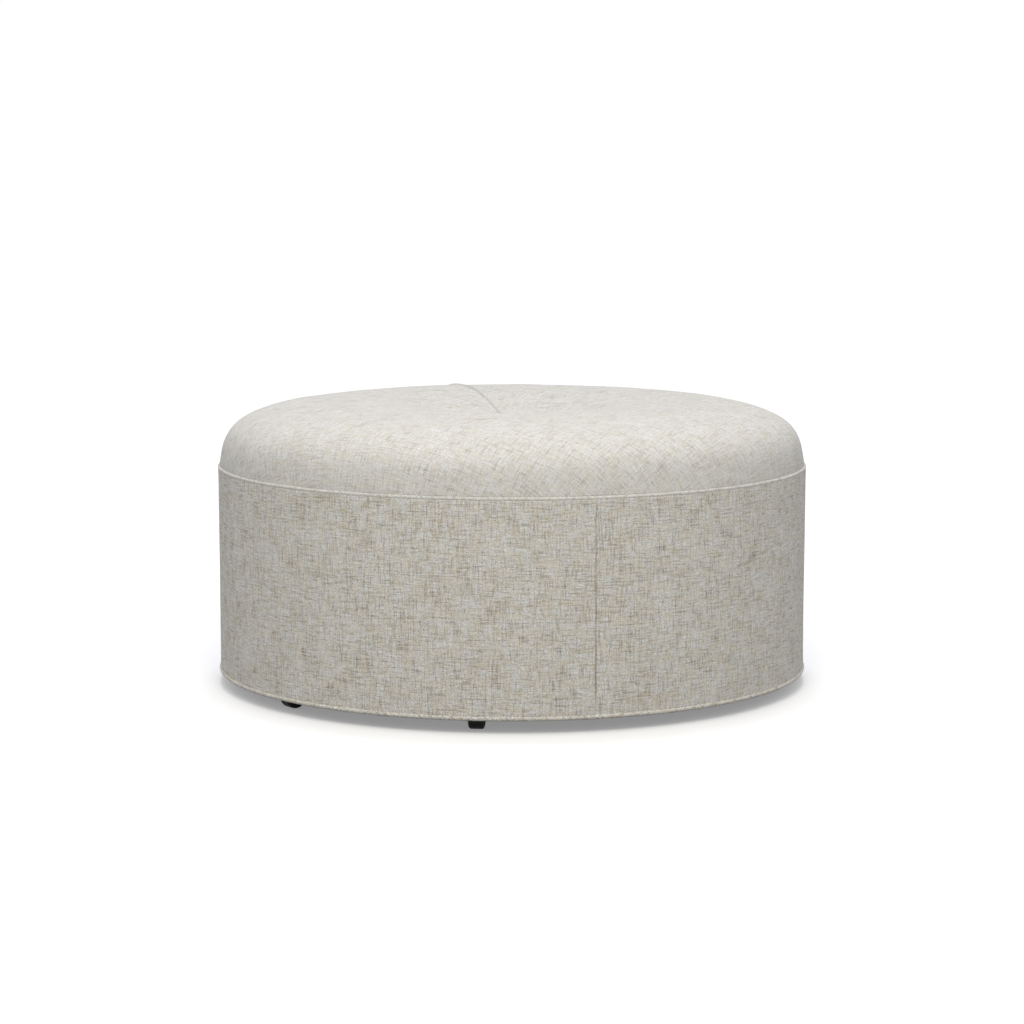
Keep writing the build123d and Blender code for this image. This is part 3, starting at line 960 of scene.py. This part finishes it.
cord_round = np.arange(cord_sides + 1) / cord_sides
cord_weave = np.stack(np.meshgrid(cord_round, np.arange(cord_columns + 1), indexing="ij"), axis=-1)
cords = []
for node, look, ring, level, thickness, seed in (
    ("top_welt", seat_linen, top_ring, welt_level - top_settle, top_welt_radius, 1),
    ("bottom_welt", linen, foot_ring, rim_welt_level, foot_welt, 5),
):
    skin, charts = welt_rows(ring, level, thickness, seed)
    welt = loop_mesh(f"{node}_piping", skin, closed(charts))
    fit(welt, look, "linen_cloth", node)
    cords.append(loop_mesh(f"{node}_cord", cord_rows(ring, level), cord_weave))
pair = bmesh.new()
for cord in cords:
    pair.from_mesh(cord.data)
pair.to_mesh(cords[0].data)
pair.free()
bpy.data.objects.remove(cords[1])
cords[0].name = "welt_cord_pair"
fit(cords[0], twine, "cotton_cord", "welt_cords")

# Dust cover
# Black spunbonded cloth closes the underside. It is stapled near its edge and held by the caster
# plates, and between them it hangs slack by a few millimetres.
dust_low, dust_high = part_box("dust_cover")
dust_radius = dust_high.x
dust_black = (22, 22, 23)
dust_dull = (38, 38, 39)
plate_spots = [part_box(name) for name in frame["nodes"] if name.startswith("caster_plate_")]
plate_spots = [((low.x + high.x) / 2, (low.y + high.y) / 2) for low, high in plate_spots]
held_reach = 0.036
slack_reach = 0.1
slack = 0.0035
slack_share = 0.7
ripple_share = 0.35
dust_gap = 0.0001
dust_columns = 240
dust_steps = 64
# Ripples of the slack: the share of each, its length each way, and its seed
dust_ripples = ((1, 0.05, 0.16, 1), (0.6, 0.12, 0.03, 4))
# The cloth's own fibres, the pitch of the pressed points, its dusty patches, and its relief
dust_fibre = (0.0015, 0.0005, 0.01)
point_pitch = 0.0022
dust_patch = 0.06
fibre_depth = 0.0003


def dust_finish(name):
    """Spunbonded fibres, pressed with a grid of small points."""
    dust = Finish(name, roughness=0.8, specular=0.2)
    spot = dust.place()
    fibre = dust.noise(dust.scaled(spot, *dust_fibre), detail=4, coarse=0.7)
    x, y, _ = dust.parts(spot)
    points = [dust.math("SINE", dust.math("MULTIPLY", way, tau / point_pitch)) for way in (x, y)]
    pressed = dust.share(dust.math("MULTIPLY", *points), 0.5, 0.8, 1.0, 0.55)
    patch = dust.noise(dust.scaled(spot, *[dust_patch] * 3), detail=4, coarse=0.6)
    dust.paint(dust.blend(dust.share(patch, 0.4, 0.7), colour(*dust_black), colour(*dust_dull)))
    dust.rough(dust.share(fibre, 0.3, 0.7, 0.7, 0.9))
    dust.relief(dust.math("MULTIPLY", pressed, fibre), fibre_depth)
    return dust.material


def eased(value):
    """From 0 to 1 with soft ends."""
    value = min(1, max(0, value))
    return value * value * (3 - 2 * value)


def dust_sag(x, y):
    """How far the cloth hangs below the boards."""
    held = min(hypot(x - px, y - py) for px, py in plate_spots) - held_reach
    held = min(held, dust_radius - hypot(x, y))
    ripple = 0
    for share, wide, deep, seed in dust_ripples:
        ripple += share * noise.noise(Vector((x / wide, y / deep, seed)))
    return eased(held / slack_reach) * slack * (slack_share + ripple_share * ripple) + dust_gap


dust_turns = [tau * c / dust_columns for c in range(dust_columns + 1)]
dust_rows, dust_weave = [], []
for side_level, order in ((dust_low.z, 1), (dust_high.z, -1)):
    for k in range(dust_steps + 1)[::order]:
        radius = dust_radius * k / dust_steps
        spots = [(radius * cos(turn), radius * sin(turn)) for turn in dust_turns]
        dust_rows.append([(x, y, side_level - dust_sag(x, y)) for x, y in spots[:-1]])
        dust_weave.append(spots)
dust_cloth = loop_mesh("dust_cloth", np.array(dust_rows), closed(np.array(dust_weave)))
fit(dust_cloth, dust_finish("black_spunbond"), "black_cambric", "dust_cover")

# Casters
# Stamped steel plates and forks in black powder coat, rubbed a little in places, each fork turning
# on a riveted kingpin. The wheels are moulded in black nylon, with the fine rings of the mould.
steel_black = (20, 20, 21)
steel_rubbed = (44, 44, 46)
nylon_black = (4, 4, 4)
# The coat's orange peel, the size of its rubbed places, and its relief
coat_peel = 0.0012
coat_rub = (0.009, 0.009, 0.005)
coat_depth = 0.00012
# The wheel's rings, how strong they are, its handled patches, and its relief
ring_pitch = 0.0011
ring_share = 0.3
grime_grain = 0.004
nylon_depth = 0.00008


def steel_finish(name):
    """Black powder coat with a fine orange peel, rubbed a little paler in places."""
    steel = Finish(name, specular=0.5)
    spot = steel.place()
    peel = steel.noise(steel.scaled(spot, *[coat_peel] * 3), detail=2)
    rub = steel.noise(steel.scaled(spot, *coat_rub), detail=5, coarse=0.7)
    worn = steel.share(rub, 0.6, 0.72)
    steel.paint(steel.blend(worn, colour(*steel_black), colour(*steel_rubbed)))
    steel.rough(steel.share(rub, 0.35, 0.7, 0.36, 0.55))
    steel.relief(peel, coat_depth)
    return steel.material


def nylon_finish(name, joint):
    """Moulded nylon, whose rings follow the wheel's own axle."""
    nylon = Finish(name, roughness=0.4, specular=0.25)
    offset = nylon.add("ShaderNodeVectorMath", operation="SUBTRACT")
    nylon.feed(offset.inputs[0], nylon.place())
    offset.inputs[1].default_value = joint["pos_m"]
    aside = nylon.add("ShaderNodeVectorMath", operation="DOT_PRODUCT")
    nylon.feed(aside.inputs[0], offset.outputs[0])
    aside.inputs[1].default_value = joint["axis"]
    span = nylon.add("ShaderNodeVectorMath", operation="LENGTH")
    nylon.feed(span.inputs[0], offset.outputs[0])
    across = aside.outputs["Value"]
    square = nylon.math("MULTIPLY", span.outputs["Value"], span.outputs["Value"])
    reach = nylon.math("SQRT", nylon.math("SUBTRACT", square, nylon.math("MULTIPLY", across, across)))
    ring = nylon.math("SINE", nylon.math("MULTIPLY", reach, tau / ring_pitch))
    grime = nylon.noise(nylon.scaled(offset.outputs[0], *[grime_grain] * 3), detail=5, coarse=0.7)
    nylon.paint(colour(*nylon_black))
    nylon.rough(nylon.share(grime, 0.3, 0.7, 0.35, 0.6))
    nylon.relief(nylon.math("MULTIPLY_ADD", ring, ring_share, grime), nylon_depth)
    return nylon.material


steel = steel_finish("black_powder_coat")
for name in frame["nodes"]:
    if name.startswith(("caster_plate_", "yoke_")):
        give(name, steel)
for joint in frame["joints"]:
    if joint["child"].startswith("wheel_"):
        give(joint["child"], nylon_finish(f"black_nylon_{joint['child']}", joint))

# Floor and light
# A pale studio floor that runs out to white under an even, faintly cool sky, and that throws back
# less light than it shows. Near the ottoman it is painted a little darker, as painted shade round it.
# One broad cool lamp stands high and a little behind the ottoman, and a warm soft box hangs before
# and above it.
floor_reach = 60
floor_white = 0.81
floor_shade_near = 0.76
near_reach = 0.9
white_reach = 2.2
floor_bounce = 0.3
floor_lift = 0.255
sky_tint = (1, 1.01, 1.04, 1)
high_tint = (1, 1.03, 1.14)
sky_light = 0.73
high_light = 0.76
high_height = radians(72)
high_spread = radians(20)
box_light = 51
box_warmth = (1, 0.965, 0.87)
box_width = 1.6
box_spot = Vector((0, -2.6, 2.8))
box_aim = Vector((0, 0, 0.25))

floor_mesh = bpy.data.meshes.new("floor")
corners = [(-floor_reach, -floor_reach, 0), (floor_reach, -floor_reach, 0)]
corners += [(floor_reach, floor_reach, 0), (-floor_reach, floor_reach, 0)]
floor_mesh.from_pydata(corners, [], [(0, 1, 2, 3)])
studio_floor = bpy.data.objects.new("floor", floor_mesh)
bpy.context.scene.collection.objects.link(studio_floor)


def seen_share(tree):
    """1 where the camera looks straight, or in a reflection or through glass, else 0."""
    path = tree.nodes.new("ShaderNodeLightPath")
    seen = path.outputs["Is Camera Ray"]
    for ray in ("Is Glossy Ray", "Is Transmission Ray"):
        both = tree.nodes.new("ShaderNodeMath")
        both.operation = "MAXIMUM"
        tree.links.new(seen, both.inputs[0])
        tree.links.new(path.outputs[ray], both.inputs[1])
        seen = both.outputs[0]
    return seen


floor_paint = Finish("studio_floor", roughness=0.9, specular=0.0)
seen = seen_share(floor_paint.tree)
# Painted shade: the floor is a little darker near the ottoman and pales out to its white further off.
far = floor_paint.share(ring_depth(floor_paint, floor_paint.place()), near_reach, white_reach)
white = floor_paint.blend(far, [floor_shade_near] * 3 + [1], [floor_white] * 3 + [1])
floor_paint.paint(floor_paint.blend(seen, [floor_bounce] * 3 + [1], white))
floor_paint.shader.inputs["Emission Color"].default_value = (1, 1, 1, 1)
lift = floor_paint.math("MULTIPLY", seen, floor_lift)
floor_paint.feed(floor_paint.shader.inputs["Emission Strength"], lift)
floor_mesh.materials.append(floor_paint.material)

sky = bpy.data.worlds.new("sky")
sky.use_nodes = True
bpy.context.scene.world = sky
backdrop = sky.node_tree.nodes["Background"]
backdrop.inputs["Color"].default_value = sky_tint
strength = sky.node_tree.nodes.new("ShaderNodeMapRange")
strength.inputs["To Min"].default_value = sky_light
strength.inputs["To Max"].default_value = 1
sky.node_tree.links.new(seen_share(sky.node_tree), strength.inputs["Value"])
sky.node_tree.links.new(strength.outputs[0], backdrop.inputs["Strength"])


def hang(name, lamp, spot, way):
    """A lamp at a spot that shines along a way."""
    hung = bpy.data.objects.new(name, lamp)
    hung.location = spot
    hung.rotation_euler = way.to_track_quat("-Z", "Y").to_euler()
    bpy.context.scene.collection.objects.link(hung)


high_lamp = bpy.data.lights.new("high_lamp", "SUN")
high_lamp.energy = high_light
high_lamp.angle = high_spread
high_lamp.color = high_tint
hang(high_lamp.name, high_lamp, (0, 0, 0), Vector((0, -cos(high_height), -sin(high_height))))
soft_box = bpy.data.lights.new("soft_box", "AREA")
soft_box.energy = box_light
soft_box.size = box_width
soft_box.color = box_warmth
hang(soft_box.name, soft_box, box_spot, box_aim - box_spot)
bpy.context.scene.view_settings.view_transform = "Standard"
